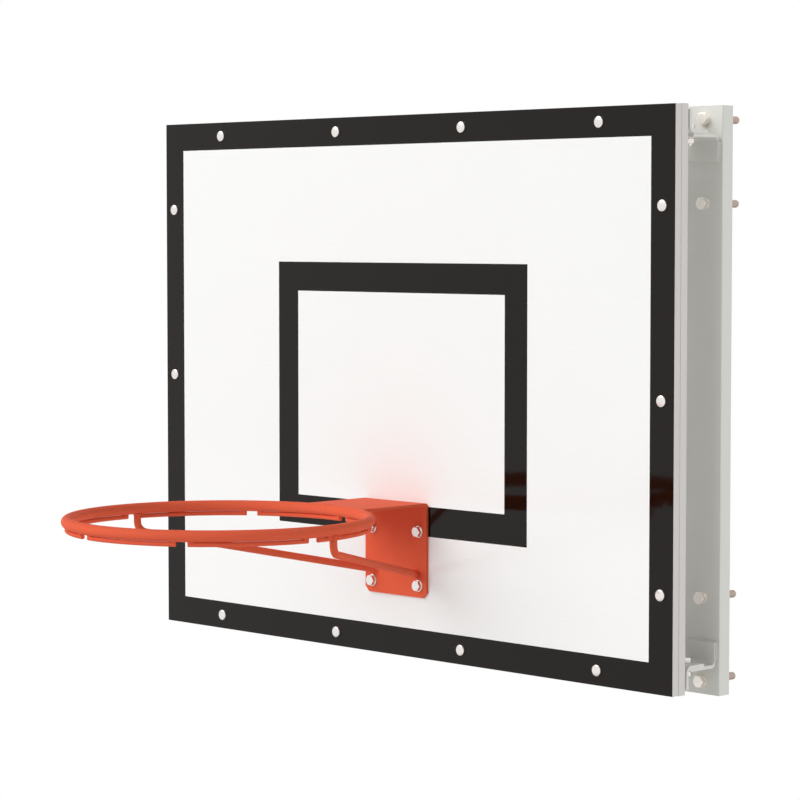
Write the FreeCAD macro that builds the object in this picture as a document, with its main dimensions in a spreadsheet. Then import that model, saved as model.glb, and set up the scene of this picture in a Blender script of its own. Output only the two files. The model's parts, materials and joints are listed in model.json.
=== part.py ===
"""Wall-mounted basketball goal: board, tube frame, wall rails and fixed hoop.

Millimetres. +X is the viewer's right, +Y points into the wall, +Z is up. The origin lies on the wall,
in the middle of the wall bolts.
"""
import FreeCAD, Part
import os
import Sketcher
from FreeCAD import Placement, Rotation, Vector

SIZES = {
    # Board panel and its place in front of the wall
    "board_width": 1200,
    "board_height": 900,
    "panel_thickness": 14,
    "board_standoff": 136,
    # Tube frame behind the panel
    "tube_width": 48,
    "tube_depth": 15,
    "tube_wall": 2,
    "tube_corner": 1,
    "frame_overhang": 0.5,
    # Domed screws along the border
    "screw_inset": 24,
    "screw_pitch_across": 298,
    "screw_pitch_down": 296.5,
    "screw_diameter": 8,
    "screw_head_diameter": 18,
    "screw_head_height": 5,
    "screw_washer_diameter": 15,
    "screw_washer_thickness": 1.6,
    "screw_nut_width": 13,
    "screw_nut_height": 6.5,
    # Board angles and the spacers that hold them off the frame
    "angle_thickness": 5.5,
    "angle_bend": 6,
    "angle_upright": 36,
    "angle_shelf": 42,
    "spacer_thickness": 4,
    "spacer_diameter": 20,
    # Wall rails
    "rail_width": 70,
    "rail_depth": 25,
    "rail_overhang": 44,
    "rail_thickness": 4,
    "rail_outer_corner": 1.5,
    "rail_inner_corner": 1,
    # Rail brackets
    "bracket_thickness": 5.5,
    "bracket_bend": 6,
    "bracket_width": 60,
    "bracket_upright": 40,
    "bracket_nose": 16,
    # Vertical clamp bolts through angles and brackets
    "clamp_inset": 11,
    "clamp_offset": 8,
    "clamp_diameter": 10,
    "clamp_head_width": 16,
    "clamp_head_height": 6.4,
    "clamp_washer_diameter": 20,
    "clamp_washer_thickness": 2,
    "clamp_nut_height": 8,
    # Bolts through the rails into the wall
    "wall_bolt_end_inset": 20,
    "wall_bolt_bracket_drop": 66,
    "wall_bolt_diameter": 12,
    "wall_bolt_depth": 52,
    "wall_thread_diameter": 11.8,
    "wall_thread_length": 70,
    "wall_head_width": 18,
    "wall_head_height": 7.5,
    "wall_washer_diameter": 20,
    "wall_washer_thickness": 2,
    # Hoop plate, bent at the top
    "hoop_rise": 260,
    "plate_width": 146,
    "plate_height": 158,
    "plate_thickness": 5,
    "plate_bend": 2,
    "plate_corner": 9,
    "plate_margin": 2,
    # Bolts of the hoop plate
    "hoop_bolts_width": 110,
    "hoop_bolts_height": 90,
    "hoop_foot_inset": 20,
    "hoop_bolt_diameter": 10,
    "hoop_head_width": 16,
    "hoop_head_height": 6.4,
    "hoop_washer_diameter": 20,
    "hoop_washer_thickness": 2,
    "hoop_nut_height": 8,
    # Ring and the net rod under it
    "ring_inner_diameter": 457,
    "ring_bar": 18,
    "ring_clear": 163.5,
    "ring_sink": 5.5,
    "net_rod_bar": 7,
    "net_gap": 19,
    "first_gap_angle": 38,
    "second_gap_angle": 81,
    "third_gap_angle": 126,
    "fourth_gap_angle": 176,
    # Braces from the ring to the foot of the plate
    "brace_bar": 12,
    "brace_angle": 6.5,
    "brace_post": 36.5,
    "brace_bend": 18,
    "brace_foot_width": 98,
    "brace_foot_rise": 38.5,
    # Clearances, and the run of every cut past its piece
    "hole_clearance": 1,
    "thread_tail": 3,
    "bend_clearance": 0.5,
    "weld_gap": 0.2,
    "overrun": 10,
}

doc = FreeCAD.newDocument("backboard")
sheet = doc.addObject("Spreadsheet::Sheet", "Sizes")
for row, (size_name, size) in enumerate(SIZES.items(), start=1):
    sheet.set(f"A{row}", size_name)
    sheet.set(f"B{row}", str(size))
    sheet.setAlias(f"B{row}", size_name)
doc.recompute()

nodes = []

# Levels along Y, from the board's face to the wall
PANEL_FRONT = "(-Sizes.board_standoff)"
PANEL_REAR = f"({PANEL_FRONT} + Sizes.panel_thickness)"
FRAME_MIDDLE = f"({PANEL_REAR} + Sizes.tube_depth / 2)"
FRAME_REAR = f"({PANEL_REAR} + Sizes.tube_depth)"
ANGLE_FRONT = f"({FRAME_REAR} + Sizes.spacer_thickness)"
ANGLE_INNER = f"({ANGLE_FRONT} + Sizes.angle_thickness)"
CLAMP_DEPTH = f"({ANGLE_FRONT} + Sizes.angle_shelf - Sizes.clamp_inset)"
RAIL_FRONT = "(-Sizes.rail_depth)"
PLATE_FRONT = f"({PANEL_FRONT} - Sizes.plate_thickness)"

# Levels along Z: the angles lie on the brackets, so the board's middle is half their thickness up
BOARD_RISE = "((Sizes.angle_thickness + Sizes.bracket_thickness) / 2)"
SCREW_ROW = "(Sizes.board_height / 2 - Sizes.screw_inset)"
SCREW_SEAT = (
    "(Sizes.angle_thickness + Sizes.angle_bend + Sizes.bend_clearance + Sizes.screw_washer_diameter / 2)"
)
ANGLE_LEVEL = f"({SCREW_ROW} - {SCREW_SEAT})"
BRACKET_TOP = f"({BOARD_RISE} + {ANGLE_LEVEL})"
RAIL_TOP = f"({BRACKET_TOP} + Sizes.rail_overhang)"
HOOP_DROP = "(Sizes.board_height / 2 - Sizes.hoop_rise)"
PLATE_TOP = f"({BOARD_RISE} - {HOOP_DROP})"
RING_LEVEL = f"({PLATE_TOP} - Sizes.ring_sink)"

# Places along X, and the ring's circle
RAIL_MIDDLE = "(Sizes.board_width / 2 - Sizes.rail_width / 2)"
CLAMP_SIDE = f"({RAIL_MIDDLE} + Sizes.clamp_offset)"
UPRIGHT_MIDDLE = "(Sizes.hoop_bolts_width / 2)"
RING_RADIUS = "(Sizes.ring_inner_diameter / 2 + Sizes.ring_bar / 2)"
RING_MIDDLE = f"({PANEL_FRONT} - Sizes.ring_clear - Sizes.ring_inner_diameter / 2)"

FRONT = Rotation(Vector(1, 0, 0), 90)
BACK = Rotation(Vector(1, 0, 0), -90)
UPWARD = Rotation()
TURNED_OVER = Rotation(Vector(0, 1, 0), 180)
OUTER_EDGE_LEFT = Rotation(Vector(0, 1, 0), -90)
OUTER_EDGE_RIGHT = Rotation(Vector(0, 1, 0), 90)


def value(expression):
    """The present value of an expression."""
    return float(sheet.evalExpression(expression))


def place(item, x="0", y="0", z="0", turn=None):
    """Turns an object and binds its place."""
    if turn:
        item.Placement = Placement(Vector(), turn)
    for axis, expression in (("x", x), ("y", y), ("z", z)):
        item.setExpression(f"Placement.Base.{axis}", expression)
    return item


def primitive(kind, name, **sizes):
    """A Part primitive with its sizes bound."""
    item = doc.addObject(f"Part::{kind}", name)
    for size_property, expression in sizes.items():
        item.setExpression(size_property, expression)
    return item


def node(item, label):
    """Keeps an object as a named sub-part."""
    item.Label = label
    nodes.append(item)
    return item


def new_body(name):
    return doc.addObject("PartDesign::Body", name)


def new_sketch(body, name, role, lift="0"):
    """A sketch on one of the body's own planes, lifted along the plane's normal."""
    sketch = body.newObject("Sketcher::SketchObject", name)
    plane = next(feature for feature in body.Origin.OriginFeatures if feature.Role == role)
    sketch.AttachmentSupport = [(plane, "")]
    sketch.MapMode = "FlatFace"
    sketch.setExpression("AttachmentOffset.Base.z", lift)
    return sketch


def tie(sketch, kind, *references, to):
    """Adds a dimension to a sketch and binds it."""
    index = sketch.addConstraint(Sketcher.Constraint(kind, *references, value(to)))
    sketch.setExpression(f"Constraints[{index}]", to)


def tie_point(sketch, geometry, end, x, y):
    tie(sketch, "DistanceX", -1, 1, geometry, end, to=x)
    tie(sketch, "DistanceY", -1, 1, geometry, end, to=y)


def outline(sketch, corners):
    """A closed outline of straight edges with every corner bound."""
    points = [Vector(value(x), value(y), 0) for x, y in corners]
    following = points[1:] + points[:1]
    lines = [sketch.addGeometry(Part.LineSegment(*ends), False) for ends in zip(points, following)]
    for line, after in zip(lines, lines[1:] + lines[:1]):
        sketch.addConstraint(Sketcher.Constraint("Coincident", line, 2, after, 1))
    for line, (x, y) in zip(lines, corners):
        tie_point(sketch, line, 1, x, y)


def circles(sketch, centres, diameter):
    """Round holes with their places and radius bound."""
    radius = f"({diameter}) / 2"
    for x, y in centres:
        middle = Vector(value(x), value(y), 0)
        circle = sketch.addGeometry(Part.Circle(middle, Vector(0, 0, 1), value(radius)), False)
        tie_point(sketch, circle, 3, x, y)
        tie(sketch, "Radius", circle, to=radius)


def pad(body, sketch, name, length):
    """Pads a sketch by the same amount to both sides of its plane."""
    feature = body.newObject("PartDesign::Pad", name)
    feature.Profile = sketch
    feature.SideType = "Symmetric"
    feature.setExpression("Length", length)
    doc.recompute()
    return feature


def pocket(body, sketch, name, length=None):
    """Cuts a sketch to both sides of its plane, right through where no length is given."""
    before = body.Shape.Volume
    feature = body.newObject("PartDesign::Pocket", name)
    feature.Profile = sketch
    feature.SideType = "Symmetric"
    if length:
        feature.setExpression("Length", length)
    else:
        feature.Type = "ThroughAll"
    doc.recompute()
    if body.Shape.Volume >= before:
        raise RuntimeError(f"{name} cuts nothing")
    return feature


def drill(body, name, role, centres, diameter):
    """Drills clearance holes right through, square to one of the body's planes."""
    sketch = new_sketch(body, f"{name}_sketch", role)
    circles(sketch, centres, f"{diameter} + Sizes.hole_clearance")
    return pocket(body, sketch, name)


def edges_at(feature, **place_of):
    """Names the straight edges whose two ends lie at the given coordinates."""
    def lies_there(edge):
        ends = [vertex.Point for vertex in edge.Vertexes]
        return len(ends) == 2 and all(
            abs(getattr(end, axis) - value(expression)) < Part.Precision.approximation()
            for end in ends for axis, expression in place_of.items()
        )
    return [f"Edge{n}" for n, edge in enumerate(feature.Shape.Edges, start=1) if lies_there(edge)]


def dress(body, kind, name, base, edges, size_property, expression):
    """Rounds or chamfers edges of the body's last feature."""
    feature = body.newObject(f"PartDesign::{kind}", name)
    feature.Base = (base, edges)
    feature.setExpression(size_property, expression)
    doc.recompute()
    return feature


def round_edges(body, name, base, edges, radius):
    return dress(body, "Fillet", name, base, edges, "Radius", radius)


def mirrored(*distances):
    """Each distance to the left and to the right of the middle."""
    return [sign + distance for distance in distances for sign in ("-", "")]


# Places of the border screws, from the board's middle
SCREW_COLUMNS = mirrored("Sizes.screw_pitch_across / 2", "Sizes.screw_pitch_across * 3 / 2")
SIDE_SCREW_ROWS = ["-Sizes.screw_pitch_down", "0", "Sizes.screw_pitch_down"]
SCREW_SIDE = "(Sizes.board_width / 2 - Sizes.screw_inset)"
ANGLE_SCREW_PLACES = [(x, y) for y in mirrored(SCREW_ROW) for x in SCREW_COLUMNS]
FRAME_SCREW_PLACES = [(x, y) for x in mirrored(SCREW_SIDE) for y in SIDE_SCREW_ROWS]

# Places of the hoop bolts, from the board's middle
HOOP_FOOT = "(Sizes.plate_height - Sizes.hoop_foot_inset)"
HOOP_ROWS = [
    f"(-{HOOP_DROP} - {HOOP_FOOT} + Sizes.hoop_bolts_height)",
    f"(-{HOOP_DROP} - {HOOP_FOOT})",
]
HOOP_COLUMNS = mirrored("Sizes.hoop_bolts_width / 2")
HOOP_BOLT_PLACES = [(x, y) for y in HOOP_ROWS for x in HOOP_COLUMNS]

# Levels of the wall bolts on each rail
WALL_BOLT_LEVELS = mirrored(
    f"({RAIL_TOP} - Sizes.wall_bolt_end_inset)",
    f"({BRACKET_TOP} - Sizes.bracket_upright - Sizes.wall_bolt_bracket_drop)",
)


def make_board_panel():
    body = new_body("board_panel")
    face = new_sketch(body, "panel_face", "XZ_Plane")
    outline(face, [
        ("-Sizes.board_width / 2", "-Sizes.board_height / 2"),
        ("Sizes.board_width / 2", "-Sizes.board_height / 2"),
        ("Sizes.board_width / 2", "Sizes.board_height / 2"),
        ("-Sizes.board_width / 2", "Sizes.board_height / 2"),
    ])
    pad(body, face, "panel_sheet", "Sizes.panel_thickness")
    screw_places = ANGLE_SCREW_PLACES + FRAME_SCREW_PLACES
    drill(body, "panel_screw_holes", "XZ_Plane", screw_places, "Sizes.screw_diameter")
    drill(body, "panel_hoop_holes", "XZ_Plane", HOOP_BOLT_PLACES, "Sizes.hoop_bolt_diameter")
    place(body, y=f"{PANEL_FRONT} + Sizes.panel_thickness / 2", z=BOARD_RISE)
    node(body, "board_panel")


def make_tube(name, length, mitre, holes, hole_diameter):
    """A flat steel tube along X, with its outer edge at the top and its ends cut back by the mitre."""
    body = new_body(name)
    side = new_sketch(body, f"{name}_side", "XZ_Plane")
    outline(side, [
        (f"-({length}) / 2", "0"),
        (f"-({length}) / 2 + {mitre}", "-Sizes.tube_width"),
        (f"({length}) / 2 - {mitre}", "-Sizes.tube_width"),
        (f"({length}) / 2", "0"),
    ])
    bar = pad(body, side, f"{name}_bar", "Sizes.tube_depth")
    long_edges = []
    for level in ("0", "-Sizes.tube_width"):
        for depth in mirrored("Sizes.tube_depth / 2"):
            long_edges += edges_at(bar, y=depth, z=level)
    round_edges(body, f"{name}_corners", bar, long_edges, "Sizes.tube_corner")
    bore = new_sketch(body, f"{name}_bore_sketch", "XZ_Plane")
    outline(bore, [
        (f"-({length}) / 2 - Sizes.overrun", "-Sizes.tube_wall"),
        (f"-({length}) / 2 - Sizes.overrun", "Sizes.tube_wall - Sizes.tube_width"),
        (f"({length}) / 2 + Sizes.overrun", "Sizes.tube_wall - Sizes.tube_width"),
        (f"({length}) / 2 + Sizes.overrun", "-Sizes.tube_wall"),
    ])
    pocket(body, bore, f"{name}_bore", "Sizes.tube_depth - 2 * Sizes.tube_wall")
    drill(body, f"{name}_holes", "XZ_Plane", holes, hole_diameter)
    return node(body, name)


def make_frame():
    """Four mitred tubes round the border and two uprights behind the hoop."""
    width = "(Sizes.board_width + 2 * Sizes.frame_overhang)"
    height = "(Sizes.board_height + 2 * Sizes.frame_overhang)"
    screw_line = "-Sizes.screw_inset - Sizes.frame_overhang"
    rail_holes = [(x, screw_line) for x in SCREW_COLUMNS]
    stile_holes = [(x, screw_line) for x in SIDE_SCREW_ROWS]
    for name, sign, turn in (("top", "", UPWARD), ("bottom", "-", TURNED_OVER)):
        rail = make_tube(f"frame_{name}_rail", width, "Sizes.tube_width", rail_holes,
                         "Sizes.screw_diameter")
        place(rail, y=FRAME_MIDDLE, z=f"{BOARD_RISE} + {sign}{height} / 2", turn=turn)
    for name, sign, turn in (("left", "-", OUTER_EDGE_LEFT), ("right", "", OUTER_EDGE_RIGHT)):
        stile = make_tube(f"frame_{name}_stile", height, "Sizes.tube_width", stile_holes,
                          "Sizes.screw_diameter")
        place(stile, x=f"{sign}{width} / 2", y=FRAME_MIDDLE, z=BOARD_RISE, turn=turn)
        # The upright stands on edge like the right stile, so its X runs down the board
        holes = [(f"-{row}", "-Sizes.tube_width / 2") for row in HOOP_ROWS]
        inner_height = f"({height} - 2 * Sizes.tube_width)"
        upright = make_tube(f"{name}_hoop_upright", inner_height, "0", holes, "Sizes.hoop_bolt_diameter")
        edge = f"{sign}{UPRIGHT_MIDDLE} + Sizes.tube_width / 2"
        place(upright, x=edge, y=FRAME_MIDDLE, z=BOARD_RISE, turn=OUTER_EDGE_RIGHT)


def make_bent_strip(name, profile, width, outer_corner, inner_corner, thickness, bend):
    """A strip bent once along X: the profile lies across it, in Y and Z."""
    body = new_body(name)
    section = new_sketch(body, f"{name}_section", "YZ_Plane")
    outline(section, profile)
    strip = pad(body, section, f"{name}_strip", width)
    outer_edge = edges_at(strip, y=outer_corner[0], z=outer_corner[1])
    outside = round_edges(body, f"{name}_outer_bend", strip, outer_edge, f"{bend} + {thickness}")
    inner_edge = edges_at(outside, y=inner_corner[0], z=inner_corner[1])
    round_edges(body, f"{name}_inner_bend", outside, inner_edge, bend)
    return body


def make_board_angles():
    """Two equal angles: the shelf's outer face is at zero, the upright's front face too."""
    thick = "Sizes.angle_thickness"
    profile = [
        ("0", "0"),
        ("Sizes.angle_shelf", "0"),
        ("Sizes.angle_shelf", thick),
        (thick, thick),
        (thick, "Sizes.angle_upright"),
        ("0", "Sizes.angle_upright"),
    ]
    clamps = [(x, "Sizes.angle_shelf - Sizes.clamp_inset") for x in mirrored(CLAMP_SIDE)]
    for name, sign, turn in (("upper", "", UPWARD), ("lower", "-", TURNED_OVER)):
        label = f"{name}_board_angle"
        body = make_bent_strip(label, profile, "Sizes.board_width", ("0", "0"), (thick, thick), thick,
                               "Sizes.angle_bend")
        screws = [(x, SCREW_SEAT) for x in SCREW_COLUMNS]
        drill(body, f"{label}_screw_holes", "XZ_Plane", screws, "Sizes.screw_diameter")
        drill(body, f"{label}_clamp_holes", "XY_Plane", clamps, "Sizes.clamp_diameter")
        place(body, y=ANGLE_FRONT, z=f"{BOARD_RISE} + {sign}{ANGLE_LEVEL}", turn=turn)
        node(body, label)


def make_wall_rails():
    """Two channels, open to the wall."""
    half = "Sizes.rail_width / 2"
    inner = "(Sizes.rail_width / 2 - Sizes.rail_thickness)"
    front = "-Sizes.rail_depth"
    web_rear = "(Sizes.rail_thickness - Sizes.rail_depth)"
    bolts = [("0", level) for level in WALL_BOLT_LEVELS]
    for side, sign in (("left", "-"), ("right", "")):
        label = f"{side}_wall_rail"
        body = new_body(label)
        section = new_sketch(body, f"{label}_section", "XY_Plane")
        outline(section, [
            (f"-{half}", "0"),
            (f"-{half}", front),
            (half, front),
            (half, "0"),
            (inner, "0"),
            (inner, web_rear),
            (f"-{inner}", web_rear),
            (f"-{inner}", "0"),
        ])
        channel = pad(body, section, f"{label}_channel", f"2 * {RAIL_TOP}")
        outer = [edge for x in mirrored(half) for edge in edges_at(channel, x=x, y=front)]
        outside = round_edges(body, f"{label}_outer_corners", channel, outer, "Sizes.rail_outer_corner")
        corners = [edge for x in mirrored(inner) for edge in edges_at(outside, x=x, y=web_rear)]
        round_edges(body, f"{label}_inner_corners", outside, corners, "Sizes.rail_inner_corner")
        drill(body, f"{label}_holes", "XZ_Plane", bolts, "Sizes.wall_bolt_diameter")
        place(body, x=sign + RAIL_MIDDLE)
        node(body, label)


def make_rail_brackets():
    """Four equal brackets on the rails' webs, the lower two turned over."""
    thick = "Sizes.bracket_thickness"
    reach = f"({RAIL_FRONT} - {CLAMP_DEPTH} + Sizes.bracket_nose)"
    profile = [
        ("0", "0"),
        ("0", "-Sizes.bracket_upright"),
        (f"-{thick}", "-Sizes.bracket_upright"),
        (f"-{thick}", f"-{thick}"),
        (f"-{reach}", f"-{thick}"),
        (f"-{reach}", "0"),
    ]
    for side, side_sign in (("left", "-"), ("right", "")):
        for level, level_sign, turn in (("upper", "", UPWARD), ("lower", "-", TURNED_OVER)):
            label = f"{side}_{level}_bracket"
            body = make_bent_strip(label, profile, "Sizes.bracket_width", ("0", "0"),
                                   (f"-{thick}", f"-{thick}"), thick, "Sizes.bracket_bend")
            # Turning a bracket over also swaps its sides
            outward = "-" if (side == "left") != (level == "lower") else ""
            clamp = [(f"{outward}Sizes.clamp_offset", f"{CLAMP_DEPTH} - {RAIL_FRONT}")]
            drill(body, f"{label}_hole", "XY_Plane", clamp, "Sizes.clamp_diameter")
            place(body, x=side_sign + RAIL_MIDDLE, y=RAIL_FRONT, z=level_sign + BRACKET_TOP, turn=turn)
            node(body, label)


def make_hoop_plate():
    """Back plate with chamfered feet, bent at the top into a plate cut to the ring's round."""
    thick = "Sizes.plate_thickness"
    ring_outside = f"({RING_RADIUS} + Sizes.ring_bar / 2 + Sizes.weld_gap)"
    ring_from_panel = f"({PANEL_FRONT} - {RING_MIDDLE})"
    horn = f"sqrt({ring_outside} ^ 2 - (Sizes.plate_width / 2) ^ 2)"
    reach = f"({ring_from_panel} - {horn} - Sizes.plate_margin)"
    profile = [
        ("0", "0"),
        ("0", "-Sizes.plate_height"),
        (f"-{thick}", "-Sizes.plate_height"),
        (f"-{thick}", f"-{thick}"),
        (f"-{reach}", f"-{thick}"),
        (f"-{reach}", "0"),
    ]
    body = make_bent_strip("hoop_plate", profile, "Sizes.plate_width", ("0", "0"),
                           (f"-{thick}", f"-{thick}"), thick, "Sizes.plate_bend")
    feet = [edge for x in mirrored("Sizes.plate_width / 2")
            for edge in edges_at(body.Tip, x=x, z="-Sizes.plate_height")]
    dress(body, "Chamfer", "hoop_plate_feet", body.Tip, feet, "Size", "Sizes.plate_corner")
    round_front = new_sketch(body, "hoop_plate_round_sketch", "XY_Plane")
    circles(round_front, [("0", f"-{ring_from_panel}")], f"2 * {ring_outside}")
    pocket(body, round_front, "hoop_plate_round")
    bolts = [(x, f"{y} + {HOOP_DROP}") for x, y in HOOP_BOLT_PLACES]
    drill(body, "hoop_plate_holes", "XZ_Plane", bolts, "Sizes.hoop_bolt_diameter")
    place(body, y=PANEL_FRONT, z=PLATE_TOP)
    node(body, "hoop_plate")


def make_ring():
    ring = primitive("Torus", "hoop_ring", Radius1=RING_RADIUS, Radius2="Sizes.ring_bar / 2")
    place(ring, y=RING_MIDDLE, z=RING_LEVEL)
    node(ring, "hoop_ring")


def make_net_rods():
    """A thin rod under the ring, broken at the net gaps and at the brace posts."""
    degrees = f"/ {RING_RADIUS} * 180 / pi"
    gap = f"(Sizes.net_gap / 2 {degrees})"
    post = f"((Sizes.brace_bar / 2 + Sizes.weld_gap) {degrees})"
    first, second, third, fourth = (
        f"Sizes.{order}_gap_angle" for order in ("first", "second", "third", "fourth")
    )
    # The fourth gap begins at the left brace's post
    breaks = [
        (f"Sizes.brace_angle - {post}", f"Sizes.brace_angle + {post}"),
        (f"{first} - {gap}", f"{first} + {gap}"),
        (f"{second} - {gap}", f"{second} + {gap}"),
        (f"{third} - {gap}", f"{third} + {gap}"),
        (f"180 - Sizes.brace_angle - {post}", f"{fourth} + {gap}"),
    ]
    for angle in (first, second, third, fourth):
        breaks.append((f"180 + {angle} - {gap}", f"180 + {angle} + {gap}"))
    starts = [begin for begin, _ in breaks[1:]] + [f"360 + {breaks[0][0]}"]
    level = f"{RING_LEVEL} - Sizes.ring_bar / 2 - Sizes.weld_gap - Sizes.net_rod_bar / 2"
    for number, ((_, begin), end) in enumerate(zip(breaks, starts), start=1):
        label = f"net_rod_{number}"
        rod = primitive("Torus", label, Radius1=RING_RADIUS, Radius2="Sizes.net_rod_bar / 2",
                        Angle3=f"{end} - ({begin})")
        place(rod, y=RING_MIDDLE, z=level)
        rod.setExpression("Placement.Rotation.Angle", begin)
        node(rod, label)


def make_braces():
    """Round bars that drop from the ring, bend and run back to the foot of the plate."""
    across = f"({RING_RADIUS} * cos(Sizes.brace_angle))"
    post_depth = f"({RING_MIDDLE} + {RING_RADIUS} * sin(Sizes.brace_angle))"
    inward = f"({across} - Sizes.brace_foot_width / 2)"
    backward = f"({PLATE_FRONT} - {post_depth})"
    run = f"sqrt({inward} ^ 2 + {backward} ^ 2)"
    foot = f"({PLATE_TOP} - Sizes.plate_height + Sizes.brace_foot_rise)"
    fall = f"({RING_LEVEL} - Sizes.brace_post - {foot})"
    top = "-(Sizes.ring_bar / 2 + Sizes.weld_gap)"
    corner = "-Sizes.brace_post"
    end_x = f"({run} + Sizes.overrun)"
    end_z = f"({corner} - {fall} * {end_x} / {run})"
    heading = f"atan({inward} / {backward})"
    for side, sign, turn in (("left", "-", f"90 deg - {heading}"), ("right", "", f"90 deg + {heading}")):
        label = f"{side}_hoop_brace"
        body = new_body(f"{label}_bar")
        spine = new_sketch(body, f"{label}_spine", "XZ_Plane")
        draw_bent_spine(spine, top, corner, end_x, end_z)
        section = new_sketch(body, f"{label}_section", "XY_Plane", lift=top)
        circles(section, [("0", "0")], "Sizes.brace_bar")
        pipe = body.newObject("PartDesign::AdditivePipe", f"{label}_pipe")
        pipe.Profile = section
        pipe.Spine = (spine, ["Edge1", "Edge2", "Edge3"])
        place(body, x=sign + across, y=post_depth, z=RING_LEVEL)
        body.setExpression("Placement.Rotation.Angle", turn)
        # Everything behind the plate's front face is cut off, so the bar ends flat on the plate
        behind = primitive("Box", f"{label}_trim", Length="Sizes.plate_width",
                           Width="Sizes.overrun + 2 * Sizes.brace_bar", Height="Sizes.plate_height")
        place(behind, x="-Sizes.plate_width / 2", y=PLATE_FRONT, z=f"{PLATE_TOP} - Sizes.plate_height")
        brace = doc.addObject("Part::Cut", label)
        brace.Base = body
        brace.Tool = behind
        node(brace, label)


def draw_bent_spine(spine, top, corner, end_x, end_z):
    """A straight drop, an arc and a straight run: the two straights meet at the corner."""
    drop = value(top) - value(corner)
    reach, fall = value(end_x), value(corner) - value(end_z)
    slope = Vector(reach, -fall, 0).normalize()
    tangent = min(drop, value("Sizes.brace_bend")) / 2
    knee = Vector(0, value(corner), 0)
    begin, finish = knee + Vector(0, tangent, 0), knee + slope * tangent
    middle = (begin + finish + knee * 2) / 4
    post = spine.addGeometry(Part.LineSegment(Vector(0, value(top), 0), begin), False)
    bend = spine.addGeometry(Part.Arc(begin, middle, finish), False)
    run = spine.addGeometry(Part.LineSegment(finish, Vector(value(end_x), value(end_z), 0)), False)
    mark = spine.addGeometry(Part.Point(knee), True)
    ends = spine.Geometry[bend]
    first = 1 if (ends.StartPoint - begin).Length < (ends.EndPoint - begin).Length else 2
    spine.addConstraint(Sketcher.Constraint("Tangent", post, 2, bend, first))
    spine.addConstraint(Sketcher.Constraint("Tangent", bend, 3 - first, run, 1))
    spine.addConstraint(Sketcher.Constraint("PointOnObject", mark, 1, post))
    spine.addConstraint(Sketcher.Constraint("PointOnObject", mark, 1, run))
    tie_point(spine, post, 1, "0", top)
    tie_point(spine, mark, 1, "0", corner)
    tie_point(spine, run, 2, end_x, end_z)
    tie(spine, "Radius", bend, to="Sizes.brace_bend")


def hexagon(name, width, height):
    return primitive("Prism", name, Circumradius=f"{width} / sqrt(3)", Height=height)


def shank(name, diameter, length):
    """A bolt's round shank, from its seat downwards."""
    bar = primitive("Cylinder", name, Radius=f"{diameter} / 2", Height=length)
    bar.setExpression("Placement.Base.z", f"-({length})")
    return bar


def fused(name, *shapes):
    item = doc.addObject("Part::MultiFuse", name)
    item.Shapes = list(shapes)
    return item


def bolt(name, width, height, diameter, length):
    """A hexagon bolt whose head stands on its seat."""
    return fused(name, hexagon(f"{name}_head", width, height), shank(f"{name}_shank", diameter, length))


def domed_screw(name, length):
    """A screw with a round cap for a head."""
    half, height = "(Sizes.screw_head_diameter / 2)", "Sizes.screw_head_height"
    radius = f"(({half} ^ 2 + {height} ^ 2) / (2 * {height}))"
    cap = primitive("Sphere", f"{name}_cap", Radius=radius, Angle1=f"asin(1 - {height} / {radius})")
    cap.setExpression("Placement.Base.z", f"{height} - {radius}")
    return fused(name, cap, shank(f"{name}_shank", "Sizes.screw_diameter", length))


def bored(name, blank, diameter, height):
    """A washer, spacer or nut: a blank with a clearance bore."""
    clear = f"({diameter} + Sizes.hole_clearance) / 2"
    hole = primitive("Cylinder", f"{name}_bore", Radius=clear, Height=height)
    item = doc.addObject("Part::Cut", name)
    item.Base = blank
    item.Tool = hole
    return item


def washer(name, outside, diameter, height):
    disc = primitive("Cylinder", f"{name}_disc", Radius=f"{outside} / 2", Height=height)
    return bored(name, disc, diameter, height)


def nut(name, width, diameter, height):
    return bored(name, hexagon(f"{name}_blank", width, height), diameter, height)


def repeat(label, *sets):
    """One node of equal fasteners: each set is a pattern, its places and the way that it faces."""
    links = []
    for pattern, places, facing in sets:
        for x, y, z in places:
            link = doc.addObject("App::Link", f"{label}_{len(links) + 1}")
            link.LinkedObject = pattern
            links.append(place(link, x, y, z, turn=facing))
    group = doc.addObject("Part::Compound", f"{label}_group")
    group.Links = links
    node(group, label)


def on_board(places, depth):
    """Places on the board, taken to a level behind or in front of it."""
    return [(x, depth, f"{BOARD_RISE} + {z}") for x, z in places]


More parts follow.
